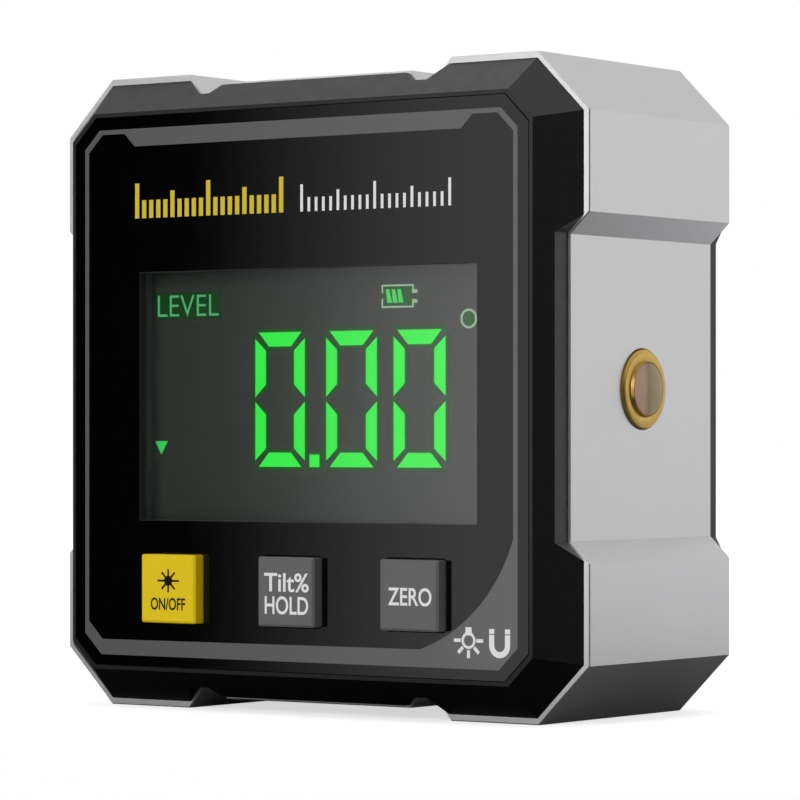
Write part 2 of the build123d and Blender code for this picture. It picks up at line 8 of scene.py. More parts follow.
import json
from math import acos, asin, copysign, cos, pi, radians, sin

import bmesh
import bpy
from mathutils import Matrix, Vector

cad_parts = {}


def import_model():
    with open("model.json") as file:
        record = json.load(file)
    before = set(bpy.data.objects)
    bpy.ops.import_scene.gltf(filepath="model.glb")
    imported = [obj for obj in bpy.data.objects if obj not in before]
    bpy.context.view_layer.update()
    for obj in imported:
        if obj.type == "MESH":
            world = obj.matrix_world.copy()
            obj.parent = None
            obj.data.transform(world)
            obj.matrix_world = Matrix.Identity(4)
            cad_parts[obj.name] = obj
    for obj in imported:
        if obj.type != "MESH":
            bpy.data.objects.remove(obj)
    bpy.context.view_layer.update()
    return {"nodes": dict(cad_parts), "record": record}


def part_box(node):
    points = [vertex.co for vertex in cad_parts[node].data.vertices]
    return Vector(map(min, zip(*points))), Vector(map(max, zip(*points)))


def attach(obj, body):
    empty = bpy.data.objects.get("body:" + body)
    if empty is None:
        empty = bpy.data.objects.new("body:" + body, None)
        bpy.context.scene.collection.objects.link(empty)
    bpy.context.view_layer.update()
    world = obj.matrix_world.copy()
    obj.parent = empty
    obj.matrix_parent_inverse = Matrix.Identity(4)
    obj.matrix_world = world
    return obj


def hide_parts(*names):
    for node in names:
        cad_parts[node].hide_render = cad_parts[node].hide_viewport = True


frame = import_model()
scene = bpy.context.scene

MM = 0.001
HOUSING = "housing"        # the body of every added piece but the buttons' caps and their print
UPRIGHT = Matrix.Rotation(radians(90), 4, "X")     # stands a flat drawing up to face the front
SLOTS = {part["node"]: part["material_slot"] for part in frame["record"]["subparts"]}
MATERIALS = {}             # every material by its name, entered by Surface

# Planes of the part, read from its pieces
PANEL_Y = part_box("front_panel")[0].y
GLASS_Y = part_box("lcd_glass")[0].y
BUTTON_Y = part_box("hold_button")[0].y

# Thicknesses of print and light; of two marks that overlap, the one meant to show is thicker
INK = 0.02 * MM            # print on the panel and the buttons
ICON_INK = 2 * INK
CAP_INSET = 1.2 * INK      # how far in the faces of the button caps lie, to leave room for print
FILM = 0.02 * MM           # lit marks on the display glass
HALO_FILM = 0.6 * FILM
FAINT_FILM = 0.3 * FILM

# Steps of round outlines and turned solids
ARC_STEPS = 24
CIRCLE_STEPS = 32
TURNED_STEPS = 64
TURNED_SHARP = radians(32)     # edges that bend more than this stay sharp
SEAM = 1e-7                    # metres; points closer than this become one

# Border printed round the panel, in mm, measured from the middle of the base
BORDER_SIDE = 24.84
BORDER_LOW = 5.0
BORDER_HIGH = 54.8
BORDER_CUT_LOW = 2.0       # corners cut off the outer line
BORDER_CUT_HIGH = 1.8
INNER_SIDE = 24.37
INNER_LOW = 6.46
INNER_HIGH = 54.37
INNER_CUT = 1.68
BAND_HALF = 20.0           # broad band at the top, between its two steps
BAND_STEP = 1.25
SWEEP_X = 9.33             # curve of the grey corner at the lower right
SWEEP_Z = 21.7
SWEEP_RADIUS = 15.88
SWEEP_END = 6.6            # height at which the curve runs into the lower line

# Graduated scale along the top of the panel, in mm
SCALE_LOW = 46.3
SCALE_MARKS = 21

# Digits of the display, in mm
DIGIT_LEFTS = (-5.86, 2.35, 9.97)
DIGIT_WIDTH = 5.75
DIGIT_BOTTOM = 22.88
DIGIT_TOP = 35.36
DIGIT_BAR = 1.24           # width of the upright strokes
DIGIT_RAIL = 1.33          # width of the level strokes
RAIL_INSET = 0.4           # ends of the level strokes, from the sides of the digit
RAIL_INNER_INSET = 1.6
POINT_LEFT = 0.43          # decimal point
POINT_RIGHT = 1.57
POINT_TOP = 24.04
HALO_NEAR = 0.22           # how far the dim halo reaches beyond each stroke
HALO_FAR = 0.4             # how far the faint halo behind it reaches

# Small marks of the display, in mm
DEGREE_PLACE = (18.245, 36.25)
DEGREE_RADIUS = 0.89
DEGREE_STROKE = 0.2
ARROW = [(-17.84, 25.27), (-16.31, 25.27), (-17.1, 24.01)]
WORD_BOX = (-17.52, -10.2, 37.02, 39.03)           # left, right, bottom and top
WORD_WEIGHT = -0.008       # thins the strokes of the word
WORD_HALO_NEAR = 0.1
WORD_HALO_FAR = 0.3

# Print on the buttons, in mm
SUN_PLACE = (-13.75, 12.2)
BUTTON_WEIGHT = 0.014      # thickens the strokes of the words
BUTTON_WORDS = (           # piece, text, material, body, and (left, right, bottom, top)
    ("print_on_off", "ON/OFF", "print_brown", "power_key", (-15.83, -11.72, 9.46, 10.6)),
    ("print_tilt", "Tilt%", "print_white", "hold_key", (-2.42, 2.7, 11.45, 13.2)),
    ("print_hold", "HOLD", "print_white", "hold_key", (-2.35, 2.64, 9.39, 11.06)),
    ("print_zero", "ZERO", "print_white", "zero_key", (11.61, 16.38, 10.52, 12.15)),
)

# Laser mouth, as outlines of (radius, distance out from the lip) in mm
COLLAR = [(2.45, -0.6), (3.36, -0.03), (3.4, 0.03), (3.3, 0.07), (2.9, 0.09), (2.6, 0.06),
          (2.51, 0.36), (2.48, 0.38), (2.45, 0.36), (2.45, -0.6)]
LENS = [(0, -0.6), (2.44, -0.6), (2.44, 0.3), (2.38, 0.38), (2.26, 0.42), (1.6, 0.48),
        (0.8, 0.52), (0, 0.53)]

# Camera, as found from the photograph, in metres, degrees and mm
CAMERA_PLACE = (0.219361, -0.303912, 0.025450)
CAMERA_TURN = 35.61
CAMERA_LENS = 177.99
CAMERA_SENSOR = 36.0
CAMERA_SHIFT = 0.04895
CAMERA_NEAR = 0.01
CAMERA_FAR = 50

# Lamps, in metres: name, place, width, height and watts, all aimed at the middle of the part
LAMP_TARGET = (0, 0, 0.03)
LAMPS = (
    ("top_softbox", (-0.05, 0.10, 0.80), 0.8, 0.8, 1.5),
    ("front_softbox", (-0.15, -0.80, 0.35), 0.6, 0.5, 2.2),
)

# World: white to the camera, and an even light
WHITE = (1, 1, 1, 1)
WORLD_TINT = (0.97, 0.98, 1.0, 1)
WORLD_LIGHT = 0.45

# World as gloss sees it: bright behind and above, a softbox in front, dark beside it
BACK_LEAN = (0.25, 0.66, 0.85)     # points at the bright part
BACK_START = -0.1
BACK_END = 0.6
OVERHEAD_LOSS = 0.5            # share of it that is lost straight above
SOFTBOX_DARK = radians(39.0)   # its left edge, from dark to full
SOFTBOX_FULL = radians(34.0)
SOFTBOX_RIGHT_DARK = radians(-30.0)
SOFTBOX_RIGHT_FULL = radians(0.0)
BESIDE_NEAR = radians(55.0)    # dim fill on the far left
BESIDE_FULL = radians(75.0)
BESIDE_LAST = radians(100.0)
BESIDE_FAR = radians(120.0)
BESIDE_LEVEL = 0.5
GLOSS_LEAST = 0.005            # the darkest that gloss sees

# Floor, in metres
FLOOR_PALE = (0.86, 0.86, 0.86, 1)
FLOOR_PAINTED_SHADE = (0.01, 0.01, 0.01, 1)
FLOOR_LIFT = 0.64          # what the floor adds of its own, so that the camera sees it white
FLOOR_REACH = 6.0
FLOOR_EDGE = -0.055        # the floor ends here in front, short of what the panel mirrors
FLOOR_NEAR = 0.035         # painted shade: gloss sees the floor dark nearer the middle than this
FLOOR_FAR = 0.1            # and as it is further out than this
FLOOR_FRONT = -0.02        # painted shade: gloss sees the floor dark in front of this
FLOOR_BACK = 0.02          # and as it is behind this
FLOOR_GLOW = 0.3           # what gloss sees of the lift, from none to all of this share
FLOOR_GLOW_NEAR = 0.09
FLOOR_GLOW_FAR = 0.2


def srgb(value):
    """Linear value of a grey level from 0 to 255."""
    share = value / 255
    if share <= 0.04045:
        return share / 12.92
    return ((share + 0.055) / 1.055) ** 2.4


def colour(red, green, blue):
    """Linear colour from three levels from 0 to 255."""
    return (srgb(red), srgb(green), srgb(blue), 1.0)


def shaded(base, share):
    """The same colour with less light."""
    return tuple(c * share for c in base[:3]) + (1.0,)


class Nodes:
    """Helpers that build a node tree."""

    def __init__(self, tree):
        self.tree = tree

    def node(self, kind, **settings):
        made = self.tree.nodes.new(kind)
        for key, value in settings.items():
            setattr(made, key, value)
        return made

    def feed(self, value, socket):
        """Sets a socket to a number, or links an output to it."""
        if isinstance(value, float):
            socket.default_value = value
        else:
            self.tree.links.new(value, socket)

    def math(self, operation, first, second):
        made = self.node("ShaderNodeMath", operation=operation)
        self.feed(first, made.inputs[0])
        self.feed(second, made.inputs[1])
        return made.outputs[0]

    def axes(self, place):
        """Outputs that give the X, Y and Z of a place."""
        made = self.node("ShaderNodeSeparateXYZ")
        self.feed(place, made.inputs["Vector"])
        return made.outputs


class Surface(Nodes):
    """A material on the Principled shader, with helpers that add grain from noise."""

    def __init__(self, name, base, roughness, **sockets):
        self.material = bpy.data.materials.new(name)
        self.material.use_nodes = True
        MATERIALS[name] = self.material
        super().__init__(self.material.node_tree)
        self.shader = self.tree.nodes["Principled BSDF"]
        self.shader.inputs["Base Color"].default_value = base
        self.shader.inputs["Roughness"].default_value = roughness
        for socket, value in sockets.items():
            self.shader.inputs[socket.replace("_", " ")].default_value = value
        self.place = self.node("ShaderNodeTexCoord").outputs["Object"]

    def noise(self, size_mm, detail=2.0, stretch=(1, 1, 1)):
        """Noise whose features are about size_mm across."""
        mapping = self.node("ShaderNodeMapping")
        mapping.inputs["Scale"].default_value = stretch
        self.feed(self.place, mapping.inputs["Vector"])
        texture = self.node("ShaderNodeTexNoise")
        texture.inputs["Scale"].default_value = 1 / (size_mm * MM)
        texture.inputs["Detail"].default_value = detail
        self.feed(mapping.outputs["Vector"], texture.inputs["Vector"])
        return texture.outputs["Fac"]

    def ramp(self, source, low, high, start=0.3, end=0.7):
        """Maps a source from start..end to low..high."""
        made = self.node("ShaderNodeMapRange")
        made.inputs["From Min"].default_value = start
        made.inputs["From Max"].default_value = end
        made.inputs["To Min"].default_value = low
        made.inputs["To Max"].default_value = high
        self.feed(source, made.inputs["Value"])
        return made.outputs["Result"]

    def tint(self, source, low, high, socket="Base Color"):
        """Colour of a socket that drifts between two colours."""
        mix = self.node("ShaderNodeMix", data_type="RGBA")
        mix.inputs["A"].default_value = low
        mix.inputs["B"].default_value = high
        self.feed(source, mix.inputs["Factor"])
        self.feed(mix.outputs["Result"], self.shader.inputs[socket])

    def shades(self, source, stops, interpolation="LINEAR"):
        """Base colour that runs through several stops of (place, colour) along a source."""
        made = self.node("ShaderNodeValToRGB")
        made.color_ramp.interpolation = interpolation
        elements = made.color_ramp.elements
        for element, (place, shade) in zip(elements, (stops[0], stops[-1])):
            element.position = place
            element.color = shade
        for place, shade in stops[1:-1]:
            elements.new(place).color = shade
        self.feed(source, made.inputs["Fac"])
        self.feed(made.outputs["Color"], self.shader.inputs["Base Color"])

    def rough(self, source, low, high):
        self.feed(self.ramp(source, low, high), self.shader.inputs["Roughness"])

    def bump(self, source, height_mm, strength=1.0):
        made = self.node("ShaderNodeBump")
        made.inputs["Strength"].default_value = strength
        made.inputs["Distance"].default_value = height_mm * MM
        self.feed(source, made.inputs["Height"])
        self.feed(made.outputs["Normal"], self.shader.inputs["Normal"])


def plastic(name, base, roughness, grain_mm=0.25, grain_height=0.006, drift=0.15, specular=0.5):
    """Moulded plastic: fine grain, slightly uneven gloss and colour."""
    made = Surface(name, base, roughness, Specular_IOR_Level=specular)
    paler = tuple(min(1.0, c * (1 + drift) + 0.0005) for c in base[:3]) + (1.0,)
    made.tint(made.noise(3.0), base, paler)
    made.rough(made.noise(1.2), roughness * 0.9, roughness * 1.12)
    made.bump(made.noise(grain_mm), grain_height)


def ink(name, base, roughness=0.45, drift=0.04, specular=0.5):
    """Printed ink: plastic with next to no grain."""
    plastic(name, base, roughness, grain_mm=0.2, grain_height=0.001, drift=drift,
            specular=specular)


def dull(name, base):
    """Dull paint round the window."""
    plastic(name, base, 0.7, grain_mm=0.2, grain_height=0.002, drift=0.04, specular=0.2)


def metal(name, base, roughness):
    """Plain metal, slightly uneven in gloss and colour."""
    made = Surface(name, base, roughness, Metallic=1.0)
    made.tint(made.noise(2.0), shaded(base, 0.92), base)
    made.rough(made.noise(0.6), roughness * 0.88, roughness * 1.15)
    made.bump(made.noise(0.15), 0.003)


def brushed(name, base, roughness):
    """Metal turned or brushed in fine lines."""
    made = Surface(name, base, roughness, Metallic=1.0)
    lines = made.noise(0.08, detail=1.0, stretch=(1.0, 0.05, 0.05))
    made.rough(lines, roughness * 0.8, roughness * 1.3)
    made.bump(lines, 0.002)


def anodised():
    """Satin silver of the aluminium frame: fine bead-blasted grain with a soft sheen."""
    made = Surface("frame_silver", colour(217, 217, 218), 0.38, Metallic=0.85)
    made.tint(made.noise(6.0), colour(215, 215, 216), colour(219, 219, 220))
    made.rough(made.noise(0.5), 0.34, 0.42)
    made.bump(made.noise(0.12, detail=3.0), 0.004)


def lit(name, base):
    """Marks of the display, lit from behind, a little uneven."""
    made = Surface(name, shaded(base, 0.1), 0.4, Specular_IOR_Level=0.05, Emission_Strength=1.0)
    made.tint(made.noise(2.5), shaded(base, 0.9), base, "Emission Color")


def clear(name, tint, roughness, ior=1.49):
    """Clear plastic or glass with a slightly uneven polish."""
    made = Surface(name, tint, roughness, IOR=ior, Transmission_Weight=1.0)
    made.rough(made.noise(4.0), roughness * 0.8, roughness * 1.2)


def display_film_painted_shade():
    """Dark display film, its colour painted as light and shade: darkest near the middle and palest
    on the right.
    """
    made = Surface("display_glass", colour(20, 24, 21), 0.4, Specular_IOR_Level=0.05)
    low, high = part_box("lcd_glass")
    place = made.axes(made.place)
    lead = 0.12                # the bottom looks as the top does this share further right
    across = made.ramp(place["X"], 0.0, 1.0, start=low.x, end=high.x)
    down = made.ramp(place["Z"], lead, 0.0, start=low.z, end=high.z)
    # Painted light and shade: the film's colour runs through these stops across it and down it
    made.shades(made.math("ADD", across, down), (
        (0.0, colour(74, 80, 75)), (0.5, colour(68, 75, 69)), (1.0, colour(86, 88, 85))))
    made.bump(made.noise(0.3), 0.0005)


def print_grey_painted_light():
    """Grey print of the border, with painted light that makes it a little paler towards its lower
    right corner.
    """
    made = Surface("print_grey_painted_light", colour(96, 96, 97), 0.34)
    place = made.axes(made.place)
    top_share = 0.55           # how much of the painted light is left at the top
    across = made.ramp(place["X"], 0.0, 1.0, start=-BORDER_SIDE * MM, end=BORDER_SIDE * MM)
    down = made.ramp(place["Z"], 1.0, top_share, start=BORDER_LOW * MM, end=BORDER_HIGH * MM)
    made.tint(made.math("MULTIPLY", across, down), colour(88, 88, 89), colour(110, 110, 111))
    made.bump(made.noise(0.2), 0.001)


def laser_glass_painted_reflection():
    """Pink-coated laser lens with painted reflection and refraction: rosy on the left, olive on the
    right, with a darker line between.
    """
    made = Surface("laser_glass_painted_reflection", colour(160, 138, 120), 0.2, Specular_IOR_Level=0.35)
    low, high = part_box("laser_lens")
    across = made.ramp(made.axes(made.place)["Y"], 0.0, 1.0, start=low.y, end=high.y)
    made.shades(across, (
        (0.0, colour(198, 158, 136)), (0.3, colour(194, 158, 132)), (0.46, colour(158, 122, 88)),
        (0.62, colour(168, 148, 104)), (1.0, colour(180, 156, 110))))
    made.rough(made.noise(1.0), 0.14, 0.2)


def board_mask():
    """Green solder mask with a faint pattern of tracks under it."""
    made = Surface("board_green", colour(18, 74, 44), 0.35, Coat_Weight=0.4)
    pitch_mm = 2.6
    cells = made.node("ShaderNodeTexVoronoi", feature="DISTANCE_TO_EDGE", distance="MANHATTAN")
    cells.inputs["Scale"].default_value = 1 / (pitch_mm * MM)
    made.feed(made.place, cells.inputs["Vector"])
    tracks = made.ramp(cells.outputs["Distance"], 1.0, 0.0, start=0.06, end=0.12)
    made.tint(tracks, colour(16, 66, 40), colour(34, 104, 62))
    made.bump(tracks, 0.02, strength=0.5)


def cell_jacket():
    """Printed sleeve of a cell: dark, with a gold end and a pale line between."""
    made = Surface("cell_jacket", colour(40, 42, 46), 0.32, Coat_Weight=0.5)
    low_mm, high_mm = 6, 54
    along = made.ramp(made.axes(made.place)["Z"], 0.0, 1.0, start=low_mm * MM, end=high_mm * MM)
    made.shades(along, (
        (0.0, colour(28, 30, 34)), (0.08, colour(34, 36, 40)), (0.69, colour(200, 200, 196)),
        (0.72, colour(176, 124, 52))), interpolation="CONSTANT")
    made.rough(made.noise(1.5), 0.26, 0.38)


def part_materials():
    """Materials of the part's own pieces, by the names of their slots."""
    anodised()
    display_film_painted_shade()
    board_mask()
    cell_jacket()
    brushed("barrel_brass", colour(206, 172, 92), 0.34)
    clear("window_clear", (0.96, 0.97, 0.97, 1), 0.03)
    clear("guide_clear", (0.93, 0.96, 0.94, 1), 0.12)
    clear("lens_glass", (0.93, 0.80, 0.76, 1), 0.04, ior=1.52)
    plastic("cover_black", colour(9, 9, 9), 0.34, specular=0.43)
    plastic("door_black", colour(13, 13, 13), 0.42, grain_mm=0.3, grain_height=0.01)
    plastic("panel_black", colour(1, 1, 1), 0.05, grain_mm=2.0, grain_height=0.001, drift=0.05)
    plastic("button_yellow", colour(246, 212, 0), 0.4, grain_mm=0.3, grain_height=0.004,
            drift=0.04, specular=0.3)
    plastic("button_grey", colour(102, 102, 103), 0.42, grain_mm=0.3, grain_height=0.004,
            drift=0.04)
    plastic("strip_rubber", colour(70, 70, 74), 0.7, grain_mm=0.12, grain_height=0.01)
    plastic("chip_black", colour(26, 26, 28), 0.5, grain_mm=0.1, grain_height=0.008)
    plastic("lamp_white", colour(232, 228, 190), 0.3)
    plastic("holder_white", colour(214, 214, 210), 0.5)
    plastic("mount_black", colour(30, 30, 31), 0.5)
    plastic("plunger_black", colour(26, 26, 26), 0.45)
    plastic("switch_body", colour(58, 58, 60), 0.5)
    metal("screw_steel", colour(150, 150, 152), 0.3)
    metal("can_gold", colour(222, 184, 104), 0.22)
    metal("spring_steel", colour(178, 178, 180), 0.22)
    metal("contact_plate", colour(188, 186, 178), 0.26)
    metal("magnet_nickel", colour(190, 188, 180), 0.16)


def added_materials():
    """Materials of the print, the lit marks, the window's edge and the laser's lens."""
    print_grey_painted_light()
    ink("print_white", colour(250, 250, 250), drift=0.02)
    ink("print_yellow", colour(228, 202, 22))
    ink("print_brown", colour(26, 18, 3), roughness=0.6, specular=0.1)
    lit("lit_digit", (0.025, 0.88, 0.06, 1))
    lit("lit_small", (0.09, 0.43, 0.165, 1))
    lit("lit_arrow", colour(60, 205, 90))
    lit("lit_pale", colour(150, 180, 151))
    lit("lit_halo", (0.002, 0.074, 0.005, 1))
    lit("lit_faint", (0.011, 0.052, 0.012, 1))
    lit("lit_word_halo", (0.007, 0.048, 0.010, 1))
    lit("lit_word_faint", (0.0145, 0.0385, 0.0155, 1))
    dull("liner_grey", colour(46, 46, 45))
    dull("mask_grey", colour(98, 98, 96))
    # Back liner, paler than the front one: painted light that lifts the shade between the pane and
    # the display
    dull("liner_painted_light", colour(124, 124, 122))
    laser_glass_painted_reflection()


def piece(name, mesh, material, body):
    """Piece of one material that moves with a body of the part."""
    mesh.materials.clear()
    mesh.materials.append(MATERIALS[material])
    made = bpy.data.objects.new(name, mesh)
    scene.collection.objects.link(made)
    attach(made, body)
    return made


def baked(name, shape, material, body):
    """Piece made from a curve or text, which it takes the place of."""
    mesh = bpy.data.meshes.new_from_object(
        shape.evaluated_get(bpy.context.evaluated_depsgraph_get()))
    mesh.transform(shape.matrix_world)
    mesh.name = name
    bpy.data.objects.remove(shape)
    piece(name, mesh, material, body)


def meshed(name, mesh, material, body):
    """Piece made from a bmesh."""
    data = bpy.data.meshes.new(name)
    mesh.to_mesh(data)
    mesh.free()
    return piece(name, data, material, body)


def plates(name, outlines, y, depth, material, body=HOUSING):
    """Thin plates with the given outlines, standing out of the plane at y."""
    curve = bpy.data.curves.new(name, "CURVE")
    curve.dimensions = "2D"
    curve.fill_mode = "BOTH"
    curve.extrude = depth / 2
    for outline in outlines:
        spline = curve.splines.new("POLY")
        spline.points.add(len(outline) - 1)
        for point, (x, z) in zip(spline.points, outline):
            point.co = (x * MM, z * MM, 0, 1)
        spline.use_cyclic_u = True
    shape = bpy.data.objects.new(name, curve)
    scene.collection.objects.link(shape)
    shape.matrix_world = Matrix.Translation((0, y - depth / 2, 0)) @ UPRIGHT
    bpy.context.view_layer.update()
    baked(name, shape, material, body)


def tiles(name, outlines, y, depth, material, body=HOUSING):
    """Thin plates like those of plates(), which may overlap each other."""
    mesh = bmesh.new()
    for outline in outlines:
        front = [mesh.verts.new((x * MM, y - depth, z * MM)) for x, z in outline]
        back = [mesh.verts.new((x * MM, y, z * MM)) for x, z in outline]
        mesh.faces.new(front)
        mesh.faces.new(back[::-1])
        for i in range(len(outline)):
            mesh.faces.new((front[i - 1], front[i], back[i], back[i - 1]))
    bmesh.ops.recalc_face_normals(mesh, faces=mesh.faces)
    meshed(name, mesh, material, body)


def words(name, text, box, y, depth, material, body=HOUSING, weight=0.0):
    """Text fitted to a box of left, right, bottom and top in mm, on a plane facing the front."""
    left, right, bottom, top = box
    curve = bpy.data.curves.new(name, "FONT")
    curve.body = text
    curve.offset = weight
    shape = bpy.data.objects.new(name, curve)
    scene.collection.objects.link(shape)
    bpy.context.view_layer.update()
    corners = [Vector(c) for c in shape.bound_box]
    low_x = min(c.x for c in corners)
    high_x = max(c.x for c in corners)
    low_y = min(c.y for c in corners)
    high_y = max(c.y for c in corners)
    wide = (right - left) * MM / (high_x - low_x)
    tall = (top - bottom) * MM / (high_y - low_y)
    curve.extrude = 0.5
    shape.matrix_world = (
        Matrix.Translation((left * MM - low_x * wide, y - depth / 2, bottom * MM - low_y * tall))
        @ UPRIGHT @ Matrix.Diagonal((wide, tall, depth, 1)))
    bpy.context.view_layer.update()
    baked(name, shape, material, body)


def turned(name, profile, material):
    """Solid turned about the laser's axis, from points of (radius, distance out from the lip)."""
    low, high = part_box("laser_lens")
    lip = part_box("laser_barrel")[1].x
    centre = (lip, (low.y + high.y) / 2, (low.z + high.z) / 2)
    mesh = bmesh.new()
    line = [mesh.verts.new((lip + out * MM, centre[1], centre[2] + radius * MM))
            for radius, out in profile]
    edges = [mesh.edges.new(pair) for pair in zip(line, line[1:])]
    bmesh.ops.spin(mesh, geom=line + edges, cent=centre, axis=(1, 0, 0), angle=2 * pi,
                   steps=TURNED_STEPS, use_merge=True)
    bmesh.ops.remove_doubles(mesh, verts=mesh.verts, dist=SEAM)
    bmesh.ops.recalc_face_normals(mesh, faces=mesh.faces)
    made = meshed(name, mesh, material, HOUSING)
    made.data.shade_smooth()
    made.data.set_sharp_from_angle(angle=TURNED_SHARP)


def rectangle(left, right, bottom, top):
    return [(left, bottom), (right, bottom), (right, top), (left, top)]


def arc(x, z, radius, first, last, steps=ARC_STEPS):
    """Points of an arc from one angle to another."""
    turn = (last - first) / steps
    return [(x + radius * cos(first + i * turn), z + radius * sin(first + i * turn))
            for i in range(steps + 1)]


def circle(x, z, radius):
    return arc(x, z, radius, 0, 2 * pi, CIRCLE_STEPS)[:-1]


def bar(x, z, angle, start, end, width):
    """Straight stroke that points away from (x, z), from one radius to another."""
    along = (cos(angle), sin(angle))
    across = (-along[1] * width / 2, along[0] * width / 2)
    return [
        (x + along[0] * start + across[0], z + along[1] * start + across[1]),
        (x + along[0] * start - across[0], z + along[1] * start - across[1]),
        (x + along[0] * end - across[0], z + along[1] * end - across[1]),
        (x + along[0] * end + across[0], z + along[1] * end + across[1]),
    ]


def grown(outline, reach):
    """Outline pushed outward from its middle by about reach."""
    middle_x = sum(x for x, z in outline) / len(outline)
    middle_z = sum(z for x, z in outline) / len(outline)
    return [(x + copysign(reach, x - middle_x), z + copysign(reach, z - middle_z))
            for x, z in outline]


def border():
    """Grey line round the panel, filled at the lower right corner."""
    outer = [(BORDER_SIDE - BORDER_CUT_HIGH, BORDER_HIGH),
             (BORDER_SIDE, BORDER_HIGH - BORDER_CUT_HIGH),
             (BORDER_SIDE, BORDER_LOW + BORDER_CUT_LOW),
             (BORDER_SIDE - BORDER_CUT_LOW, BORDER_LOW)]
    outer += [(-x, z) for x, z in reversed(outer)]
    band = INNER_HIGH - BAND_STEP
    inner = [(-INNER_SIDE, INNER_HIGH - INNER_CUT), (-INNER_SIDE + INNER_CUT, INNER_HIGH),
             (-BAND_HALF, INNER_HIGH), (-BAND_HALF + BAND_STEP, band),
             (BAND_HALF - BAND_STEP, band), (BAND_HALF, INNER_HIGH),
             (INNER_SIDE - INNER_CUT, INNER_HIGH), (INNER_SIDE, INNER_HIGH - INNER_CUT)]
    first = -acos((INNER_SIDE - SWEEP_X) / SWEEP_RADIUS)
    last = asin((SWEEP_END - SWEEP_Z) / SWEEP_RADIUS)
    inner += arc(SWEEP_X, SWEEP_Z, SWEEP_RADIUS, first, last)
    inner += [(-INNER_SIDE + INNER_CUT, INNER_LOW), (-INNER_SIDE, INNER_LOW + INNER_CUT)]
    plates("print_border", [outer, inner], PANEL_Y, INK, "print_grey_painted_light")


def bulb_icon():
    """Bulb with its base up and five rays below."""
    x, z = 19.6, 7.55
    ring = 0.75
    hole = 0.5
    neck_half = ring * 0.62
    neck_low = z + ring * 0.6
    base_half = 0.33
    base_low = z + ring * 0.8 + 0.2
    base_top = 8.74
    neck = [(x - neck_half, neck_low), (x + neck_half, neck_low), (x + base_half, base_low),
            (x + base_half, base_top), (x - base_half, base_top), (x - base_half, base_low)]
    ray_start = 0.85
    ray_end = 1.58
    ray_width = 0.32
    rays = [bar(x, z, radians(angle), ray_start, ray_end, ray_width)
            for angle in (180, 225, 270, 315, 360)]
    plates("print_bulb_ring", [circle(x, z, ring), circle(x, z, hole)], PANEL_Y, ICON_INK,
           "print_white")
    plates("print_bulb_neck", [neck], PANEL_Y, 0.8 * ICON_INK, "print_white")
    plates("print_bulb_rays", rays, PANEL_Y, ICON_INK, "print_white")


def magnet_icon():
    """Horseshoe magnet with its two tips apart."""
    left, right, low, top = 21.82, 24.06, 6.08, 8.65
    leg = 0.55
    tip = 8.13
    gap = 0.08
    middle = (left + right) / 2
    outer = (right - left) / 2
    inner = outer - leg
    bend = low + outer
    shape = [(left, tip)] + arc(middle, bend, outer, pi, 2 * pi) + [(right, tip)]
    shape += [(right - leg, tip)] + arc(middle, bend, inner, 2 * pi, pi) + [(left + leg, tip)]
    left_tip = rectangle(left, left + leg, tip + gap, top)
    right_tip = rectangle(right - leg, right, tip + gap, top)
    plates("print_magnet", [shape, left_tip, right_tip], PANEL_Y, ICON_INK, "print_white")


def ticks(name, left, right, width, heights, material):
    """Row of scale marks: every fifth is taller than the rest, and every tenth the tallest."""
    plain, fifth, tenth = heights
    pitch = (right - left - width) / (SCALE_MARKS - 1)
    marks = []
    for i in range(SCALE_MARKS):
        tall = tenth if i % 10 == 0 else fifth if i % 5 == 0 else plain
        start = left + i * pitch
        marks.append(rectangle(start, start + width, SCALE_LOW, SCALE_LOW + tall))
    plates(name, marks, PANEL_Y, INK, material)


def scale_print():
    """Plain graduated scale in two colours along the top of the panel."""
    ticks("print_scale_yellow", left=-18.7, right=-1.1, width=0.5, heights=(1.7, 2.5, 3.3),
          material="print_yellow")
    ticks("print_scale_white", left=0.86, right=17.7, width=0.3, heights=(1.3, 1.9, 2.5),
          material="print_white")


def digit(left):
    """The six lit strokes of a nought."""
    right = left + DIGIT_WIDTH
    middle = (DIGIT_BOTTOM + DIGIT_TOP) / 2
    waist = 0.23               # from the middle to the nearest points of the upright strokes
    mitre = DIGIT_BAR * 0.94
    side_end = 0.6             # the upright strokes end this far from the top and the bottom
    inner_end = 1.71           # and this far along their inner edges
    shapes = []
    for side, into in ((left, 1), (right, -1)):
        inner = side + into * DIGIT_BAR
        shapes.append([(side, DIGIT_TOP - side_end), (inner, DIGIT_TOP - inner_end),
                       (inner, middle + waist + mitre), (side, middle + waist)])
        shapes.append([(side, middle - waist), (inner, middle - waist - mitre),
                       (inner, DIGIT_BOTTOM + inner_end), (side, DIGIT_BOTTOM + side_end)])
    for edge, into in ((DIGIT_TOP, -1), (DIGIT_BOTTOM, 1)):
        inner = edge + into * DIGIT_RAIL
        shapes.append([(left + RAIL_INSET, edge), (right - RAIL_INSET, edge),
                       (right - RAIL_INNER_INSET, inner), (left + RAIL_INNER_INSET, inner)])
    return shapes


def reading():
    """Lit digits with their point and unit, and the halos round them."""
    marks = [shape for left in DIGIT_LEFTS for shape in digit(left)]
    marks.append(rectangle(POINT_LEFT, POINT_RIGHT, DIGIT_BOTTOM, POINT_TOP))
    plates("lit_digits", marks, GLASS_Y, FILM, "lit_digit")
    ring = circle(*DEGREE_PLACE, DEGREE_RADIUS)
    inside = circle(*DEGREE_PLACE, DEGREE_RADIUS - DEGREE_STROKE)
    plates("lit_degree", [ring, inside], GLASS_Y, FILM, "lit_pale")
    dim = [grown(mark, HALO_NEAR) for mark in marks] + [inside]
    tiles("lit_halo", dim, GLASS_Y, HALO_FILM, "lit_halo")
    faint = [grown(mark, HALO_FAR) for mark in marks]
    tiles("lit_halo_faint", faint, GLASS_Y, FAINT_FILM, "lit_faint")


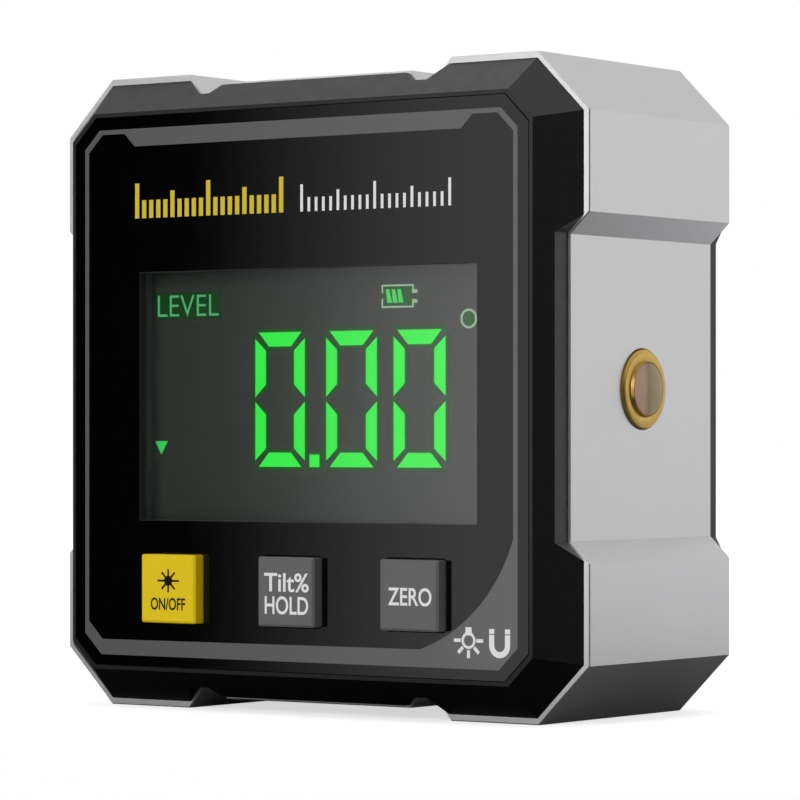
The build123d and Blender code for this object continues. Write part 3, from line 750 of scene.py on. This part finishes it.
def level_word():
    """Lit word, and the halos round it."""
    words("lit_level", "LEVEL", WORD_BOX, GLASS_Y, FILM, "lit_small", weight=WORD_WEIGHT)
    dim = grown(rectangle(*WORD_BOX), WORD_HALO_NEAR)
    tiles("lit_level_halo", [dim], GLASS_Y, HALO_FILM, "lit_word_halo")
    faint = grown(rectangle(*WORD_BOX), WORD_HALO_FAR)
    tiles("lit_level_faint", [faint], GLASS_Y, FAINT_FILM, "lit_word_faint")


def battery_sign():
    """Outline of a cell with its two nubs and three slanted bars."""
    left, right, low, high = 8.63, 12.2, 37.37, 39.48
    wall = 0.16
    gap_low, gap_high = 38.2, 38.7
    nub = 0.4
    nub_half = 0.17
    nub_low, nub_high = 37.94, 38.84
    walls = [rectangle(left, right, high - wall, high), rectangle(left, right, low, low + wall),
             rectangle(left, left + wall, low + wall, gap_low),
             rectangle(left, left + wall, gap_high, high - wall)]
    for end, z, up in ((low + wall, nub_low, 1), (high - wall, nub_high, -1)):
        near, far = z - up * nub_half, z + up * nub_half
        walls.append([(right - wall, end), (right, end), (right, near), (right + nub, near),
                      (right + nub, far), (right - wall, far)])
    plates("lit_battery_case", walls, GLASS_Y, FILM, "lit_pale")
    first_bar = 9.11
    bar_pitch = 0.64
    bar_width = 0.37
    bar_low, bar_high = 37.83, 39.05
    lean = 0.16
    bars = []
    for i in range(3):
        start = first_bar + i * bar_pitch
        bars.append([(start, bar_high), (start + bar_width, bar_high),
                     (start + bar_width + 2 * lean, bar_low), (start + lean, bar_low)])
    plates("lit_battery_bars", bars, GLASS_Y, 1.5 * FILM, "lit_arrow")
    inside = rectangle(left + wall, right - wall, low + wall, high - wall)
    plates("lit_battery_glow", [inside], GLASS_Y, 0.5 * FILM, "lit_halo")


def display():
    """Everything lit on the display glass."""
    reading()
    plates("lit_arrow", [ARROW], GLASS_Y, FILM, "lit_arrow")
    level_word()
    battery_sign()


def window_edge():
    """Thin dull liners on the walls of the window, and a mask printed on the pane round it."""
    pane_low, pane_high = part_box("display_window")
    overlap = 0.9              # how far the pane reaches behind the panel
    wall = 0.03
    left, right = pane_low.x / MM + overlap, pane_high.x / MM - overlap
    low, high = pane_low.z / MM + overlap, pane_high.z / MM - overlap
    # The back left liner is paler than the front one, painted light over the shade between pane and
    # display
    for name, back, front, side in (("front", pane_low.y, PANEL_Y, "liner_grey"),
                                    ("back", GLASS_Y, pane_high.y, "liner_painted_light")):
        depth = back - front - 2 * INK
        strips = [rectangle(left + wall, right, high - wall, high),
                  rectangle(left + wall, right, low, low + wall),
                  rectangle(right - wall, right, low + wall, high - wall)]
        # The top, bottom and right strips take the display film's material, with its painted shade
        tiles(f"window_liner_{name}", strips, back - INK, depth, "display_glass")
        tiles(f"window_liner_{name}_left", [rectangle(left, left + wall, low, high)], back - INK,
              depth, side)
    reach = 0.5                # how far the mask reaches beyond the opening
    sunk = 0.25 * INK          # how far inside the pane's back face it starts
    mask = [rectangle(left - reach, left + wall, low - reach, high + reach),
            rectangle(right - wall, right + reach, low - reach, high + reach),
            rectangle(left, right, low - reach, low + wall),
            rectangle(left, right, high - wall, high + reach)]
    tiles("window_mask", mask, pane_high.y - sunk, INK, "mask_grey")


def laser_mouth():
    """Collar pressed into the barrel's cone, and the lens that stands a little out of it."""
    turned("laser_collar", COLLAR, "barrel_brass")
    turned("laser_window", LENS, "laser_glass_painted_reflection")


def sun_icon(x, z, y):
    """Sun of a dot and eight rays, the upright and the slanted ones shorter."""
    level, slanted, upright = 1.27, 1.1, 1.08
    start = 0.4
    width = 0.18
    dot = 0.48
    reaches = (level, slanted, upright, slanted) * 2
    rays = [bar(x, z, 2 * pi * i / len(reaches), start, reach, width)
            for i, reach in enumerate(reaches)]
    plates("print_sun_rays", rays, y, INK, "print_brown", "power_key")
    plates("print_sun", [circle(x, z, dot)], y, CAP_INSET, "print_brown", "power_key")


def button_cap(key):
    """Copy of a button whose face lies a little further in, with room for the print on it."""
    button = f"{key}_button"
    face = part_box(button)[0].y
    mesh = frame["nodes"][button].data.copy()
    mesh.name = f"{button}_cap"
    for vertex in mesh.vertices:
        if vertex.co.y < face + INK:
            vertex.co.y = face + CAP_INSET
    made = piece(f"{button}_cap", mesh, SLOTS[button], f"{key}_key")
    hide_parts(button)


def buttons():
    """Caps of the three buttons and the print on them."""
    for key in ("power", "hold", "zero"):
        button_cap(key)
    face = BUTTON_Y + CAP_INSET
    sun_icon(*SUN_PLACE, face)
    for name, text, material, body, box in BUTTON_WORDS:
        words(name, text, box, face, INK, material, body, BUTTON_WEIGHT)


def dress():
    """Gives every CAD node its material."""
    for name, node in frame["nodes"].items():
        node.data.materials.clear()
        node.data.materials.append(MATERIALS[SLOTS[name]])


def camera():
    """Camera that sees the part as the photograph does."""
    lens = bpy.data.cameras.new("camera")
    lens.lens = CAMERA_LENS
    lens.sensor_width = CAMERA_SENSOR
    lens.shift_y = CAMERA_SHIFT
    lens.clip_start = CAMERA_NEAR
    lens.clip_end = CAMERA_FAR
    made = bpy.data.objects.new("camera", lens)
    made.location = CAMERA_PLACE
    made.rotation_euler = (radians(90), 0, radians(CAMERA_TURN))
    scene.collection.objects.link(made)
    scene.camera = made


def lights():
    """Softboxes above and in front."""
    for name, place, width, height, watts in LAMPS:
        lamp = bpy.data.lights.new(name, "AREA")
        lamp.shape = "RECTANGLE"
        lamp.size = width
        lamp.size_y = height
        lamp.energy = watts
        made = bpy.data.objects.new(name, lamp)
        made.location = place
        aim = Vector(LAMP_TARGET) - Vector(place)
        made.rotation_euler = aim.to_track_quat("-Z", "Y").to_euler()
        scene.collection.objects.link(made)


class Studio(Nodes):
    """Nodes of the studio's world."""

    def __init__(self):
        scene.world = bpy.data.worlds.new("studio")
        scene.world.use_nodes = True
        super().__init__(scene.world.node_tree)
        self.tree.nodes.clear()

    def step(self, source, start, end):
        """Smooth rise from 0 to 1 between two values, or a fall where start is the larger."""
        made = self.node("ShaderNodeMapRange", interpolation_type="SMOOTHSTEP")
        made.inputs["From Min"].default_value = start
        made.inputs["From Max"].default_value = end
        self.feed(source, made.inputs["Value"])
        return made.outputs["Result"]

    def background(self, shade, strength):
        made = self.node("ShaderNodeBackground")
        made.inputs["Color"].default_value = shade
        self.feed(strength, made.inputs["Strength"])
        return made.outputs[0]

    def mix(self, factor, first, second):
        made = self.node("ShaderNodeMixShader")
        self.feed(factor, made.inputs["Fac"])
        self.feed(first, made.inputs[1])
        self.feed(second, made.inputs[2])
        return made.outputs[0]


def world():
    """White all round, softly lit.

    Gloss sees it bright behind and above, with a softbox in front that falls to black beside it,
    and a dim fill on the far left.
    """
    made = Studio()
    x, y, z = made.axes(made.node("ShaderNodeTexCoord").outputs["Generated"])
    back = 0.0
    for axis, share in zip((x, y, z), BACK_LEAN):
        back = made.math("ADD", back, made.math("MULTIPLY", axis, share))
    overhead = made.math("SUBTRACT", 1.0, made.math("MULTIPLY", made.math("MAXIMUM", z, 0.0),
                                                    OVERHEAD_LOSS))
    behind = made.math("MULTIPLY", made.step(back, BACK_START, BACK_END), overhead)
    # Turn is the angle from straight in front, and grows to the left
    turn = made.math("ARCTAN2", made.math("MULTIPLY", x, -1.0), made.math("MULTIPLY", y, -1.0))
    front = made.math("MULTIPLY", made.step(turn, SOFTBOX_DARK, SOFTBOX_FULL),
                      made.step(turn, SOFTBOX_RIGHT_DARK, SOFTBOX_RIGHT_FULL))
    beside = made.math("MULTIPLY", made.step(turn, BESIDE_NEAR, BESIDE_FULL),
                       made.step(turn, BESIDE_FAR, BESIDE_LAST))
    beside = made.math("MAXIMUM", made.math("MULTIPLY", beside, BESIDE_LEVEL), GLOSS_LEAST)
    seen = made.math("MAXIMUM", made.math("MAXIMUM", behind, front), beside)
    path = made.node("ShaderNodeLightPath").outputs
    shiny = made.math("MAXIMUM", path["Is Glossy Ray"], path["Is Transmission Ray"])
    even = made.background(WORLD_TINT, WORLD_LIGHT)
    glossy = made.background(WHITE, seen)
    white = made.background(WHITE, 1.0)
    shown = made.mix(shiny, even, glossy)
    out = made.node("ShaderNodeOutputWorld")
    made.feed(made.mix(path["Is Camera Ray"], shown, white), out.inputs["Surface"])


def floor():
    """Pale floor that keeps the object's shadow and is lifted to white for the camera; to gloss it
    is painted dark near the part, as shade.
    """
    made = Surface("floor_white", FLOOR_PALE, 0.9)
    path = made.node("ShaderNodeLightPath").outputs
    length = made.node("ShaderNodeVectorMath", operation="LENGTH")
    made.feed(made.place, length.inputs[0])
    distance = length.outputs["Value"]
    away = made.ramp(distance, 0.0, 1.0, start=FLOOR_NEAR, end=FLOOR_FAR)
    back = made.ramp(made.axes(made.place)["Y"], 0.0, 1.0, start=FLOOR_FRONT, end=FLOOR_BACK)
    # Painted shade: what gloss sees of the floor is dark near the part and in front of it
    shade = made.math("SUBTRACT", 1.0, made.math("MULTIPLY", away, back))
    made.tint(made.math("MULTIPLY", shade, path["Is Glossy Ray"]), FLOOR_PALE, FLOOR_PAINTED_SHADE)
    seen = made.math("MAXIMUM", path["Is Camera Ray"], path["Is Transmission Ray"])
    glow = made.ramp(distance, 0.0, FLOOR_GLOW, start=FLOOR_GLOW_NEAR, end=FLOOR_GLOW_FAR)
    glow = made.math("MULTIPLY", made.math("MULTIPLY", glow, back), path["Is Glossy Ray"])
    lift = made.math("MULTIPLY", made.math("MAXIMUM", seen, glow), FLOOR_LIFT)
    made.shader.inputs["Emission Color"].default_value = WHITE
    made.feed(lift, made.shader.inputs["Emission Strength"])
    mesh = bpy.data.meshes.new("floor")
    mesh.from_pydata([(-FLOOR_REACH, FLOOR_EDGE, 0), (FLOOR_REACH, FLOOR_EDGE, 0),
                      (FLOOR_REACH, FLOOR_REACH, 0), (-FLOOR_REACH, FLOOR_REACH, 0)],
                     [], [(0, 1, 2, 3)])
    mesh.materials.append(made.material)
    plane = bpy.data.objects.new("floor", mesh)
    scene.collection.objects.link(plane)


part_materials()
added_materials()
camera()
world()
floor()
lights()
dress()
border()
bulb_icon()
magnet_icon()
scale_print()
display()
window_edge()
laser_mouth()
buttons()
scene.view_settings.view_transform = "Standard"
